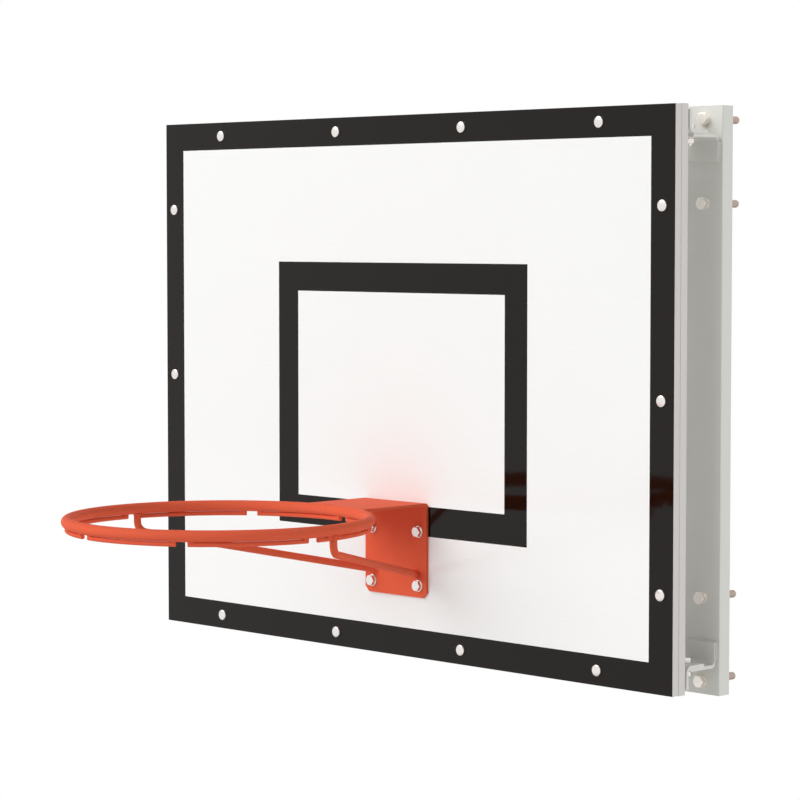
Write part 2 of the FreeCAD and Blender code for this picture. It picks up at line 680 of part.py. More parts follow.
def make_border_screws():
    behind = "Sizes.screw_washer_thickness + Sizes.screw_nut_height + Sizes.thread_tail"
    frame_grip = "Sizes.panel_thickness + Sizes.tube_depth"
    angle_grip = f"{frame_grip} + Sizes.spacer_thickness + Sizes.angle_thickness"
    long_screw = domed_screw("angle_screw", f"{angle_grip} + {behind}")
    short_screw = domed_screw("frame_screw", f"{frame_grip} + {behind}")
    repeat("angle_screws", (long_screw, on_board(ANGLE_SCREW_PLACES, PANEL_FRONT), FRONT))
    repeat("frame_screws", (short_screw, on_board(FRAME_SCREW_PLACES, PANEL_FRONT), FRONT))
    spacer = washer("angle_spacer", "Sizes.spacer_diameter", "Sizes.screw_diameter",
                    "Sizes.spacer_thickness")
    repeat("angle_spacers", (spacer, on_board(ANGLE_SCREW_PLACES, FRAME_REAR), BACK))
    disc = washer("screw_washer", "Sizes.screw_washer_diameter", "Sizes.screw_diameter",
                  "Sizes.screw_washer_thickness")
    repeat("screw_washers", (disc, on_board(ANGLE_SCREW_PLACES, ANGLE_INNER), BACK),
           (disc, on_board(FRAME_SCREW_PLACES, FRAME_REAR), BACK))
    hex_nut = nut("screw_nut", "Sizes.screw_nut_width", "Sizes.screw_diameter", "Sizes.screw_nut_height")
    lift = "Sizes.screw_washer_thickness"
    repeat("screw_nuts", (hex_nut, on_board(ANGLE_SCREW_PLACES, f"{ANGLE_INNER} + {lift}"), BACK),
           (hex_nut, on_board(FRAME_SCREW_PLACES, f"{FRAME_REAR} + {lift}"), BACK))


def make_clamp_bolts():
    """Vertical bolts: heads on the angles' shelves, nuts under the brackets."""
    lift = "Sizes.clamp_washer_thickness"
    grip = "Sizes.angle_thickness + Sizes.bracket_thickness"
    length = f"{grip} + 2 * {lift} + Sizes.clamp_nut_height + Sizes.thread_tail"
    pattern = bolt("clamp_bolt", "Sizes.clamp_head_width", "Sizes.clamp_head_height",
                   "Sizes.clamp_diameter", length)
    disc = washer("clamp_washer", "Sizes.clamp_washer_diameter", "Sizes.clamp_diameter", lift)
    hex_nut = nut("clamp_nut", "Sizes.clamp_head_width", "Sizes.clamp_diameter", "Sizes.clamp_nut_height")
    shelf_tops = [f"{BRACKET_TOP} + Sizes.angle_thickness", f"{grip} - {BRACKET_TOP}"]
    places = [(x, level) for level in shelf_tops for x in mirrored(CLAMP_SIDE)]

    def at(offset):
        return [(x, CLAMP_DEPTH, f"{level} + {offset}") for x, level in places]
    repeat("clamp_bolts", (pattern, at(lift), UPWARD))
    repeat("clamp_washers", (disc, at("0"), UPWARD), (disc, at(f"-({grip}) - {lift}"), UPWARD))
    repeat("clamp_nuts", (hex_nut, at(f"-({grip}) - {lift} - Sizes.clamp_nut_height"), UPWARD))


def make_wall_bolts():
    """Long bolts through the rails' webs, plain there and threaded where they stand out for the wall."""
    lift = "Sizes.wall_washer_thickness"
    length = f"({lift} + Sizes.rail_depth + Sizes.wall_bolt_depth)"
    plain = bolt("plain_wall_bolt", "Sizes.wall_head_width", "Sizes.wall_head_height",
                 "Sizes.wall_bolt_diameter", f"{length} - Sizes.wall_thread_length")
    thread = shank("wall_bolt_thread", "Sizes.wall_thread_diameter", length)
    pattern = fused("wall_bolt", plain, thread)
    disc = washer("wall_washer", "Sizes.wall_washer_diameter", "Sizes.wall_bolt_diameter", lift)
    places = [(x, z) for x in mirrored(RAIL_MIDDLE) for z in WALL_BOLT_LEVELS]
    repeat("wall_bolts", (pattern, [(x, f"{RAIL_FRONT} - {lift}", z) for x, z in places], FRONT))
    repeat("wall_washers", (disc, [(x, RAIL_FRONT, z) for x, z in places], FRONT))


def make_hoop_bolts():
    """Bolts through hoop plate, panel and uprights."""
    lift = "Sizes.hoop_washer_thickness"
    grip = "Sizes.plate_thickness + Sizes.panel_thickness + Sizes.tube_depth"
    length = f"{grip} + 2 * {lift} + Sizes.hoop_nut_height + Sizes.thread_tail"
    pattern = bolt("hoop_bolt", "Sizes.hoop_head_width", "Sizes.hoop_head_height",
                   "Sizes.hoop_bolt_diameter", length)
    disc = washer("hoop_washer", "Sizes.hoop_washer_diameter", "Sizes.hoop_bolt_diameter", lift)
    hex_nut = nut("hoop_nut", "Sizes.hoop_head_width", "Sizes.hoop_bolt_diameter", "Sizes.hoop_nut_height")
    repeat("hoop_bolts", (pattern, on_board(HOOP_BOLT_PLACES, f"{PLATE_FRONT} - {lift}"), FRONT))
    repeat("hoop_bolt_washers", (disc, on_board(HOOP_BOLT_PLACES, PLATE_FRONT), FRONT))
    repeat("hoop_nut_washers", (disc, on_board(HOOP_BOLT_PLACES, FRAME_REAR), BACK))
    repeat("hoop_nuts", (hex_nut, on_board(HOOP_BOLT_PLACES, f"{FRAME_REAR} + {lift}"), BACK))


def check_and_write():
    """Stops on any failed object or bad shape, then writes one file for each sub-part."""
    doc.recompute()
    failed = [item.Name for item in doc.Objects if {"Invalid", "Error"} & set(item.State)]
    bad = [item.Label for item in nodes if item.Shape.isNull() or not item.Shape.isValid()]
    if failed or bad:
        raise RuntimeError(f"failed objects {failed}, bad shapes {bad}")
    os.makedirs("parts", exist_ok=True)
    for item in nodes:
        item.Shape.exportStep(f"parts/{item.Label}.step")
        box = item.Shape.BoundBox
        print(f"{item.Label}: {len(item.Shape.Solids)} solids, {item.Shape.Volume:.0f} mm3, "
              f"X {box.XMin:.1f} {box.XMax:.1f}, Y {box.YMin:.1f} {box.YMax:.1f}, "
              f"Z {box.ZMin:.1f} {box.ZMax:.1f}")


make_board_panel()
make_frame()
make_board_angles()
make_wall_rails()
make_rail_brackets()
make_hoop_plate()
make_ring()
make_net_rods()
make_braces()
make_border_screws()
make_clamp_bolts()
make_wall_bolts()
make_hoop_bolts()
check_and_write()
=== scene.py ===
"""Looks of a wall-mounted basketball goal, built round its solids. Metres, in the part's own frame."""
import bmesh
import bpy
import json
from math import acos, atan2, cos, hypot, pi, radians, sin, sqrt, tan
from mathutils import Color, Matrix, Vector


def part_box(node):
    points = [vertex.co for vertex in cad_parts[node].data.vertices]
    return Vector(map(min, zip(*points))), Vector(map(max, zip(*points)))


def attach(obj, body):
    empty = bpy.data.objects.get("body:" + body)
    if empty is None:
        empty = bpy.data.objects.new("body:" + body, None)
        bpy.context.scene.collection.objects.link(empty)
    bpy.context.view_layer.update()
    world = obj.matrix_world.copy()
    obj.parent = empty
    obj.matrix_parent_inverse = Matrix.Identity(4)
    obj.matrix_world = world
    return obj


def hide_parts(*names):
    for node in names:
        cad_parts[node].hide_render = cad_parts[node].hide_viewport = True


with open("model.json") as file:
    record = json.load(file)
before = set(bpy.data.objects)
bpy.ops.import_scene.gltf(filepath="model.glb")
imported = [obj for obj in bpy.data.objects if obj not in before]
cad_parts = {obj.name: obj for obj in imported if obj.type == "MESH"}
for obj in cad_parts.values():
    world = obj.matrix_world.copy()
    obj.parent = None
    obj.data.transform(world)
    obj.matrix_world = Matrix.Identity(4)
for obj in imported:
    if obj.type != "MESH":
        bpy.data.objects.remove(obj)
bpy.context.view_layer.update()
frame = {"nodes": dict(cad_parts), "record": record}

MM = 0.001

# Printed lines of the board
BORDER_LINE = 48 * MM
TARGET_LINE = 49.7 * MM
TARGET_WIDTH = 591 * MM
TARGET_HEIGHT = 451.6 * MM
TARGET_RISE = 204.1 * MM
PANEL_EDGE = 0.15 * MM

# Frame tubes
TUBE_CORNER = 0.3 * MM
TUBE_CORNER_STEPS = 4
MITRE_GROOVE = 0.25 * MM

# Bent sheet metal: each bend is an inner radius
ANGLE_THICKNESS = 5.5 * MM
ANGLE_BEND = 6 * MM
BRACKET_THICKNESS = 5.5 * MM
BRACKET_BEND = 6 * MM
RAIL_THICKNESS = 4 * MM
RAIL_OUTER_CORNER = 1.5 * MM
RAIL_INNER_CORNER = 1 * MM
PLATE_THICKNESS = 5 * MM
PLATE_BEND = 2 * MM
SHEET_EDGE = 0.5 * MM
BEND_STEPS = 8

# Hoop
PLATE_CHAMFER = 9 * MM
PLATE_COLUMNS = 40
RING_BAR = 18 * MM
RING_GAP = 0.2 * MM
BRACE_BAR = 12 * MM
BRACE_ANGLE = radians(6.5)
BRACE_FOOT_WIDTH = 98 * MM
BRACE_FOOT_RISE = 38.5 * MM

# Fasteners: heads and nuts are given as width across flats and height, caps and washers as width and height
HOOP_HEAD = 16 * MM, 6.4 * MM
CLAMP_HEAD = 16 * MM, 6.4 * MM
WALL_HEAD = 18 * MM, 7.5 * MM
SCREW_CAP = 18 * MM, 5 * MM
CAP_WALL = 2.8 * MM
SCREW_NUT = 13 * MM, 6.5 * MM
SCREW_WASHER = 15 * MM, 1.6 * MM
SCREW_BAR = 8 * MM
SCREW_COLUMNS = 4
SCREW_ROWS = 2
SCREW_LEVELS = 3
HOOP_BOLT_BAR = 10 * MM
CLAMP_BAR = 10 * MM
CLAMP_NUT_HEIGHT = 8 * MM
CLAMP_WASHER_HEIGHT = 2 * MM
WALL_BOLT_BAR = 12 * MM
BORE_CLEARANCE = 0.2 * MM
THREAD_START = 12 * MM
WALL_THREAD = 70 * MM
FASTENER_EDGE = 0.35 * MM
HEAD_FACE_SHARE = 0.95
HEAD_CONE = radians(30)
THREAD_PITCH = 1.75 * MM
THREAD_DEPTH_SHARE = 0.09
FLAT_TURN = pi / 3
HEX_STEPS = 48
CAP_STEPS = 48
LATHE_STEPS = 32

# Weld beads: half widths, and the run of the net rods' tacks
BEAD_SIDES = 8
BEAD_STEP = 1.6 * MM
BEAD_RIPPLE = 0.12
LEAST_LINE_STEPS = 2
LEAST_ARC_STEPS = 6
HOOP_BEAD = 2 * MM
WELD_REACH_SHARE = 0.92
BRACE_BEAD = 1.5 * MM
TACK_BEAD = 1.2 * MM
TACK_LENGTH = 9 * MM
TACK_OFFSET = 2.6 * MM
SEAM_BEAD = 0.8 * MM
BRACKET_BEAD = 2 * MM
FRAME_BEAD = 1.2 * MM

# The photograph's camera
CAMERA_PLACE = Vector((3.3602, -3.4004, 0.2605))
CAMERA_AZIMUTH = radians(45.78)
CAMERA_ELEVATION = radians(3.39)
CAMERA_LENS = 126.84
SENSOR_WIDTH = 36

# Shaping and facing
SHARP_ANGLE = radians(25)
MERGE_DISTANCE = 0.001 * MM
ROUND_PROFILE = 0.5
SAME_MATERIAL = -1
EASE_STEPS = 2
ALONG_COSINE = 0.99
FACING_COSINE = 0.5
QUARTER_TURN = radians(90)
FRONT = Matrix.Rotation(QUARTER_TURN, 4, "X")
BACK = Matrix.Rotation(-QUARTER_TURN, 4, "X")
UPWARD = Matrix.Identity(4)


# Materials

# Drifts of tone and gloss, in spots a metre, and how finely each noise breaks up
TONE_SPOTS = 5
TONE_DETAIL = 4
GLOSS_SPOTS = 38
GLOSS_DETAIL = 5
GRAIN_DETAIL = 2
NOISE_MIDDLE = 0.5
PLAIN_TONE = 1
DISPLAY_WHITE = 255

# Grain shapes: how many spots lie along X, Y and Z, as shares of the grain
EVEN_GRAIN = 1, 1, 1
LONG_GRAIN = 0.05, 1, 1


def srgb(red, green, blue):
    """A display colour of 0 to 255 as the linear colour that a shader takes."""
    display = Color((red, green, blue)) / DISPLAY_WHITE
    return *display.from_srgb_to_scene_linear(), 1


def add_node(tree, kind, **settings):
    node = tree.nodes.new(f"ShaderNode{kind}")
    for name, value in settings.items():
        setattr(node, name, value)
    return node


def feed(tree, value, socket):
    """Links a node's output to a socket, or sets a plain value on it."""
    if isinstance(value, bpy.types.NodeSocket):
        tree.links.new(value, socket)
    else:
        socket.default_value = value


def new_group(name, inputs, outputs):
    """An empty node group with its sockets: returns the tree and its two end nodes."""
    tree = bpy.data.node_groups.new(name, "ShaderNodeTree")
    for sockets, direction in ((inputs, "INPUT"), (outputs, "OUTPUT")):
        for socket, kind in sockets.items():
            tree.interface.new_socket(socket, in_out=direction, socket_type=f"NodeSocket{kind}")
    return tree, tree.nodes.new("NodeGroupInput"), tree.nodes.new("NodeGroupOutput")


def noise(tree, scale, detail, shape=EVEN_GRAIN):
    """Noise on the piece's own coordinates: scale is in spots a metre, and shape thins them out one way."""
    shaped = add_node(tree, "Mapping")
    feed(tree, add_node(tree, "TexCoord").outputs["Object"], shaped.inputs["Vector"])
    feed(tree, shape, shaped.inputs["Scale"])
    spots = add_node(tree, "TexNoise")
    feed(tree, shaped.outputs["Vector"], spots.inputs["Vector"])
    feed(tree, scale, spots.inputs["Scale"])
    feed(tree, detail, spots.inputs["Detail"])
    return spots.outputs["Fac"]


def spread(tree, value, middle, reach):
    """Brings a noise of 0 to 1 to a middle value, give or take half of a reach."""
    centred = add_node(tree, "Math", operation="SUBTRACT")
    feed(tree, value, centred.inputs[0])
    feed(tree, NOISE_MIDDLE, centred.inputs[1])
    scaled = add_node(tree, "Math", operation="MULTIPLY_ADD")
    feed(tree, centred.outputs[0], scaled.inputs[0])
    feed(tree, reach, scaled.inputs[1])
    feed(tree, middle, scaled.inputs[2])
    return scaled.outputs[0]


def make_finish_group():
    """A coated or plated skin: slow drifts of tone and gloss, and a fine relief."""
    tree, inlet, outlet = new_group(
        "finish",
        {"Colour": "Color", "Tone drift": "Float", "Roughness": "Float", "Gloss drift": "Float",
         "Grain": "Float", "Grain shape": "Vector"},
        {"Colour": "Color", "Roughness": "Float", "Height": "Float"},
    )
    given = inlet.outputs
    tone = spread(tree, noise(tree, TONE_SPOTS, TONE_DETAIL), PLAIN_TONE, given["Tone drift"])
    tinted = add_node(tree, "HueSaturation")
    feed(tree, given["Colour"], tinted.inputs["Color"])
    feed(tree, tone, tinted.inputs["Value"])
    gloss = spread(tree, noise(tree, GLOSS_SPOTS, GLOSS_DETAIL), given["Roughness"], given["Gloss drift"])
    grain = noise(tree, given["Grain"], GRAIN_DETAIL, given["Grain shape"])
    feed(tree, tinted.outputs["Color"], outlet.inputs["Colour"])
    feed(tree, gloss, outlet.inputs["Roughness"])
    feed(tree, grain, outlet.inputs["Height"])
    return tree


def make_material(name, colour, roughness, tone_drift, gloss_drift, grain, relief, grain_shape=EVEN_GRAIN,
                  metallic=0.0, specular=0.5):
    """A material on the finish group: grain in spots a metre, relief as the depth of its bumps."""
    material = bpy.data.materials.new(name)
    material.use_nodes = True
    tree = material.node_tree
    shader = tree.nodes["Principled BSDF"]
    skin = add_node(tree, "Group", node_tree=finish_group)
    given = {"Colour": colour, "Tone drift": tone_drift, "Roughness": roughness, "Gloss drift": gloss_drift,
             "Grain": grain, "Grain shape": grain_shape}
    for socket, value in given.items():
        feed(tree, value, skin.inputs[socket])
    bump = add_node(tree, "Bump")
    feed(tree, relief, bump.inputs["Distance"])
    feed(tree, skin.outputs["Height"], bump.inputs["Height"])
    feed(tree, skin.outputs["Colour"], shader.inputs["Base Color"])
    feed(tree, skin.outputs["Roughness"], shader.inputs["Roughness"])
    feed(tree, bump.outputs["Normal"], shader.inputs["Normal"])
    feed(tree, metallic, shader.inputs["Metallic"])
    feed(tree, specular, shader.inputs["Specular IOR Level"])
    return material


finish_group = make_finish_group()
laminate = make_material(
    "white_laminate", srgb(244, 244, 243), roughness=0.16, tone_drift=0.02, gloss_drift=0.06,
    grain=260, relief=0.25 * MM, grain_shape=LONG_GRAIN)
print_black = make_material(
    "printed_black", srgb(17, 10, 5), roughness=0.06, tone_drift=0.10, gloss_drift=0.03,
    grain=160, relief=0.02 * MM, specular=0.22)
panel_edge = make_material(
    "panel_edge", srgb(218, 214, 210), roughness=0.45, tone_drift=0.03, gloss_drift=0.10,
    grain=900, relief=0.03 * MM)
frame_coat = make_material(
    "frame_coat", srgb(218, 214, 210), roughness=0.45, tone_drift=0.03, gloss_drift=0.10,
    grain=900, relief=0.03 * MM)
rail_coat = make_material(
    "rail_coat", srgb(224, 224, 218), roughness=0.45, tone_drift=0.04, gloss_drift=0.12,
    grain=900, relief=0.03 * MM)
hoop_coat = make_material(
    "hoop_coat", srgb(231, 100, 70), roughness=0.6, tone_drift=0.05, gloss_drift=0.10,
    grain=900, relief=0.04 * MM, specular=0.04)
bright_zinc = make_material(
    "bright_zinc", srgb(232, 226, 222), roughness=0.22, tone_drift=0.05, gloss_drift=0.12,
    grain=1400, relief=0.01 * MM, metallic=1.0)
# A rougher zinc for the wall bolts and their washers. Its base is lighter than the bright zinc's, which is
# painted light: it brightens them against the shade behind the board.
dull_zinc_painted_light = make_material(
    "dull_zinc_painted_light", srgb(252, 245, 239), roughness=0.42, tone_drift=0.05, gloss_drift=0.12,
    grain=1400, relief=0.01 * MM, metallic=1.0)
thread_zinc = make_material(
    "thread_zinc", srgb(186, 168, 158), roughness=0.45, tone_drift=0.12, gloss_drift=0.15,
    grain=1400, relief=0.02 * MM, metallic=1.0)


# Mesh helpers

def corner_normals(bm):
    """A normal for each corner of each face: over soft edges larger faces count more, so flats stay flat."""
    soft = {edge for edge in bm.edges if edge.is_manifold and edge.calc_face_angle() <= SHARP_ANGLE}
    weights = {face: face.normal * face.calc_area() for face in bm.faces}
    normals = []
    for face in bm.faces:
        for corner in face.verts:
            round_corner = {face}
            edges = soft.intersection(corner.link_edges)
            grows = True
            while grows:
                joined = {other for edge in edges if not round_corner.isdisjoint(edge.link_faces)
                          for other in edge.link_faces}
                grows = not joined <= round_corner
                round_corner |= joined
            normals.append(sum((weights[other] for other in round_corner), Vector()).normalized())
    return normals


def finish_piece(bm, name, materials, slot, *nodes, flats=False):
    """Makes a finished mesh a piece that rides on the part and stands for the given nodes."""
    bmesh.ops.recalc_face_normals(bm, faces=bm.faces)
    bm.normal_update()
    normals = corner_normals(bm) if flats else []
    mesh = bpy.data.meshes.new(name)
    bm.to_mesh(mesh)
    bm.free()
    mesh.shade_smooth()
    mesh.set_sharp_from_angle(angle=SHARP_ANGLE)
    if flats:
        mesh.normals_split_custom_set(normals)
    for material in materials:
        mesh.materials.append(material)
    piece = bpy.data.objects.new(name, mesh)
    bpy.context.scene.collection.objects.link(piece)
    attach(piece, "root")
    if nodes:
        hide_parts(*nodes)


def bevel_edges(bm, edges, width, steps):
    bmesh.ops.bevel(bm, geom=edges, offset=width, affect="EDGES", segments=steps, profile=ROUND_PROFILE,
                    material=SAME_MATERIAL, clamp_overlap=True)


def ease_edges(bm, width):
    """Rounds every sharp edge a little."""
    sharp = [edge for edge in bm.edges if edge.is_manifold and edge.calc_face_angle() > SHARP_ANGLE]
    bevel_edges(bm, sharp, width, EASE_STEPS)


def cut(bm, point, normal, clear=False):
    """Cuts a mesh along a plane: clear takes away the side that the normal points to, and closes the cut."""
    made = bmesh.ops.bisect_plane(bm, geom=bm.verts[:] + bm.edges[:] + bm.faces[:], dist=MERGE_DISTANCE,
                                  plane_co=point, plane_no=normal, clear_outer=clear)
    if clear:
        rim = [item for item in made["geom_cut"] if isinstance(item, bmesh.types.BMEdge)]
        bmesh.ops.edgeloop_fill(bm, edges=rim)


def draw_out(bm, way):
    """Extrudes the mesh's one flat face."""
    grown = bmesh.ops.extrude_face_region(bm, geom=bm.faces[:])
    moved = [item for item in grown["geom"] if isinstance(item, bmesh.types.BMVert)]
    bmesh.ops.translate(bm, verts=moved, vec=way)
    bmesh.ops.recalc_face_normals(bm, faces=bm.faces)


def prism(points, way):
    bm = bmesh.new()
    bm.faces.new([bm.verts.new(point) for point in points])
    draw_out(bm, way)
    return bm


def bent_sheet(corners, way):
    """Bent sheet metal: corners are a point and a bend radius, and the profile is drawn out along a way."""
    bm = bmesh.new()
    verts = [bm.verts.new(point) for point, _ in corners]
    bm.faces.new(verts)
    for vert, (_, radius) in zip(verts, corners):
        if radius:
            bmesh.ops.bevel(bm, geom=[vert], offset=radius, affect="VERTICES", segments=BEND_STEPS,
                            profile=ROUND_PROFILE, material=SAME_MATERIAL)
    draw_out(bm, way)
    return bm


def lathe(profile, steps=LATHE_STEPS, closed=False):
    """Turns a profile of radius and height about the Z axis."""
    bm = bmesh.new()
    verts = [bm.verts.new((radius, 0, height)) for radius, height in profile]
    edges = [bm.edges.new(pair) for pair in zip(verts, verts[1:])]
    if closed:
        edges.append(bm.edges.new((verts[-1], verts[0])))
    bmesh.ops.spin(bm, geom=verts + edges, cent=(0, 0, 0), axis=(0, 0, 1), angle=2 * pi, steps=steps,
                   use_merge=True)
    bmesh.ops.remove_doubles(bm, verts=bm.verts, dist=MERGE_DISTANCE)
    bmesh.ops.recalc_face_normals(bm, faces=bm.faces)
    return bm


def copies(*shapes_and_places):
    """One mesh from several: each shape is copied to its places, which are matrices."""
    bm = bmesh.new()
    for shape, places in shapes_and_places:
        for place in places:
            mesh = bpy.data.meshes.new("copy")
            shape.to_mesh(mesh)
            mesh.transform(place)
            bm.from_mesh(mesh)
            bpy.data.meshes.remove(mesh)
    for shape in {shape for shape, _ in shapes_and_places}:
        shape.free()
    return bm


# Board and frame

def make_board():
    """The panel with its printed border and target as faces of their own."""
    low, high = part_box("board_panel")
    middle = (low + high) / 2
    foot = low.z + TARGET_RISE
    half_target = TARGET_WIDTH / 2
    bm = bmesh.new()
    bmesh.ops.create_cube(bm, size=1, matrix=Matrix.LocRotScale(middle, None, high - low))
    ease_edges(bm, PANEL_EDGE)
    columns = [half_target, half_target - TARGET_LINE, high.x - BORDER_LINE]
    rows = [foot, foot + TARGET_LINE, foot + TARGET_HEIGHT, foot + TARGET_HEIGHT - TARGET_LINE,
            low.z + BORDER_LINE, high.z - BORDER_LINE]
    for x in columns + [-x for x in columns]:
        cut(bm, (x, 0, 0), (1, 0, 0))
    for z in rows:
        cut(bm, (0, 0, z), (0, 0, 1))

    def inside(point, x_reach, z_low, z_high):
        return abs(point.x) < x_reach and z_low < point.z < z_high

    def finish_at(face):
        point = face.calc_center_median()
        if face.normal.y > -FACING_COSINE:
            return panel_finishes.index(laminate if face.normal.y > FACING_COSINE else panel_edge)
        field = inside(point, high.x - BORDER_LINE, low.z + BORDER_LINE, high.z - BORDER_LINE)
        target = inside(point, half_target, foot, foot + TARGET_HEIGHT)
        window = inside(point, half_target - TARGET_LINE, foot + TARGET_LINE,
                        foot + TARGET_HEIGHT - TARGET_LINE)
        printed = not field or target and not window
        return panel_finishes.index(print_black if printed else laminate)

    panel_finishes = [laminate, print_black, panel_edge]
    bm.normal_update()
    for face in bm.faces:
        face.material_index = finish_at(face)
    finish_piece(bm, "printed_board", panel_finishes, "board_face", "board_panel", flats=True)


def make_tube(name, node, outline):
    """A frame tube drawn in the board's plane, with round long edges and fine grooves at its ends."""
    low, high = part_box(node)
    bm = prism([(x, low.y, z) for x, z in outline], (0, high.y - low.y, 0))
    size = high - low
    run = Vector((1, 0, 0)) if size.x > size.z else Vector((0, 0, 1))

    def is_long(edge):
        way = edge.verts[1].co - edge.verts[0].co
        return abs(way.normalized().dot(run)) > ALONG_COSINE

    bevel_edges(bm, [edge for edge in bm.edges if is_long(edge)], TUBE_CORNER, TUBE_CORNER_STEPS)
    ease_edges(bm, MITRE_GROOVE)
    finish_piece(bm, name, [frame_coat], "frame_grey", node, flats=True)


def make_frame():
    for name, node, sign in (("top_tube", "frame_top_rail", 1), ("bottom_tube", "frame_bottom_rail", -1)):
        low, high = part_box(node)
        width = high.z - low.z
        outer, inner = (high.z, low.z) if sign > 0 else (low.z, high.z)
        make_tube(name, node, [(low.x, outer), (high.x, outer), (high.x - width, inner),
                               (low.x + width, inner)])
    for name, node, sign in (("left_tube", "frame_left_stile", -1), ("right_tube", "frame_right_stile", 1)):
        low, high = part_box(node)
        width = high.x - low.x
        outer, inner = (high.x, low.x) if sign > 0 else (low.x, high.x)
        make_tube(name, node, [(outer, low.z), (outer, high.z), (inner, high.z - width),
                               (inner, low.z + width)])
    for side in ("left", "right"):
        node = f"{side}_hoop_upright"
        low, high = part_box(node)
        make_tube(f"{side}_upright_tube", node,
                  [(low.x, low.z), (high.x, low.z), (high.x, high.z), (low.x, high.z)])


# Wall mounting

def make_board_angles():
    thick, bend = ANGLE_THICKNESS, ANGLE_BEND
    for level, sign in (("upper", 1), ("lower", -1)):
        node = f"{level}_board_angle"
        low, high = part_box(node)
        shelf, lip = (low.z, high.z) if sign > 0 else (high.z, low.z)
        bm = bent_sheet([
            ((low.x, low.y, shelf), bend + thick),
            ((low.x, high.y, shelf), 0),
            ((low.x, high.y, shelf + sign * thick), 0),
            ((low.x, low.y + thick, shelf + sign * thick), bend),
            ((low.x, low.y + thick, lip), 0),
            ((low.x, low.y, lip), 0),
        ], (high.x - low.x, 0, 0))
        ease_edges(bm, SHEET_EDGE)
        finish_piece(bm, f"{level}_angle", [rail_coat], "galvanised_steel", node, flats=True)


def make_brackets():
    thick, bend = BRACKET_THICKNESS, BRACKET_BEND
    for side in ("left", "right"):
        for level, sign in (("upper", 1), ("lower", -1)):
            node = f"{side}_{level}_bracket"
            low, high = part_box(node)
            shelf, foot = (high.z, low.z) if sign > 0 else (low.z, high.z)
            bm = bent_sheet([
                ((low.x, high.y, shelf), bend + thick),
                ((low.x, high.y, foot), 0),
                ((low.x, high.y - thick, foot), 0),
                ((low.x, high.y - thick, shelf - sign * thick), bend),
                ((low.x, low.y, shelf - sign * thick), 0),
                ((low.x, low.y, shelf), 0),
            ], (high.x - low.x, 0, 0))
            ease_edges(bm, SHEET_EDGE)
            finish_piece(bm, f"{side}_{level}_shelf", [rail_coat], "galvanised_steel", node, flats=True)


def make_rails():
    thick = RAIL_THICKNESS
    outer, inner = RAIL_OUTER_CORNER, RAIL_INNER_CORNER
    for side in ("left", "right"):
        node = f"{side}_wall_rail"
        low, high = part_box(node)
        web = low.y + thick
        bm = bent_sheet([
            ((low.x, high.y, low.z), 0),
            ((low.x, low.y, low.z), outer),
            ((high.x, low.y, low.z), outer),
            ((high.x, high.y, low.z), 0),
            ((high.x - thick, high.y, low.z), 0),
            ((high.x - thick, web, low.z), inner),
            ((low.x + thick, web, low.z), inner),
            ((low.x + thick, high.y, low.z), 0),
        ], (0, 0, high.z - low.z))
        ease_edges(bm, SHEET_EDGE)
        finish_piece(bm, f"{side}_channel", [rail_coat], "galvanised_steel", node, flats=True)


# Hoop

def ring_measures():
    """Middle of the ring, and the radius of its bar's middle line."""
    low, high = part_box("hoop_ring")
    return (low + high) / 2, (high.x - low.x - RING_BAR) / 2


def make_hoop_plate():
    """A back plate with chamfered feet, bent at the top into a plate whose front follows the ring."""
    thick, bend = PLATE_THICKNESS, PLATE_BEND
    low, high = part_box("hoop_plate")
    ring_middle, ring_radius = ring_measures()
    round_front = ring_radius + RING_BAR / 2 + RING_GAP
    bm = bent_sheet([
        ((low.x, high.y, high.z), bend + thick),
        ((low.x, high.y, low.z), 0),
        ((low.x, high.y - thick, low.z), 0),
        ((low.x, high.y - thick, high.z - thick), bend),
        ((low.x, low.y, high.z - thick), 0),
        ((low.x, low.y, high.z), 0),
    ], (high.x - low.x, 0, 0))
    for side in (low.x, high.x):
        cut(bm, (side, 0, low.z + PLATE_CHAMFER), Vector((side, 0, -abs(side))).normalized(), clear=True)
    across = [edge for edge in bm.edges if abs(edge.verts[0].co.x - edge.verts[1].co.x) > high.x]
    bmesh.ops.subdivide_edges(bm, edges=across, cuts=PLATE_COLUMNS - 1, use_grid_fill=True)
    for vert in bm.verts:
        if vert.co.y < low.y + thick:
            vert.co.y = max(low.y, ring_middle.y + sqrt(round_front ** 2 - vert.co.x ** 2))
    ease_edges(bm, SHEET_EDGE)
    finish_piece(bm, "bent_hoop_plate", [hoop_coat], "hoop_coat", "hoop_plate", flats=True)


def coat_bars():
    """The ring, net rods and braces keep their solids and get their coat."""
    bars = ["hoop_ring", "left_hoop_brace", "right_hoop_brace"]
    bars += [name for name in frame["nodes"] if name.startswith("net_rod_")]
    for name in bars:
        frame["nodes"][name].material_slots[0].material = hoop_coat


# Fasteners, each built on the Z axis with its seat at zero

def hexagon(flats, height, rest, nut=False):
    """A bolt or nut whose corners are turned off by a cone: rest is its profile after the lower face."""
    face = flats / 2 * HEAD_FACE_SHARE
    corner = flats
    start = [] if nut else [(0, height)]
    outline = start + [(face, height), (corner, height), (corner, 0), (face, 0)] + rest
    bm = lathe(outline, HEX_STEPS, closed=nut)
    for vert in bm.verts:
        radius = hypot(vert.co.x, vert.co.y)
        if radius > (face + corner) / 2:
            turn = atan2(vert.co.y, vert.co.x) % FLAT_TURN - FLAT_TURN / 2
            reach = flats / 2 / cos(turn)
            drop = (reach - face) * tan(HEAD_CONE)
            if vert.co.z > height / 2:
                vert.co.z -= drop
            elif nut:
                vert.co.z += drop
            vert.co.x *= reach / radius
            vert.co.y *= reach / radius
    return bm


def corner_reach(flats):
    """Half the width of a hexagon across its corners."""
    return flats / 2 / cos(FLAT_TURN / 2)


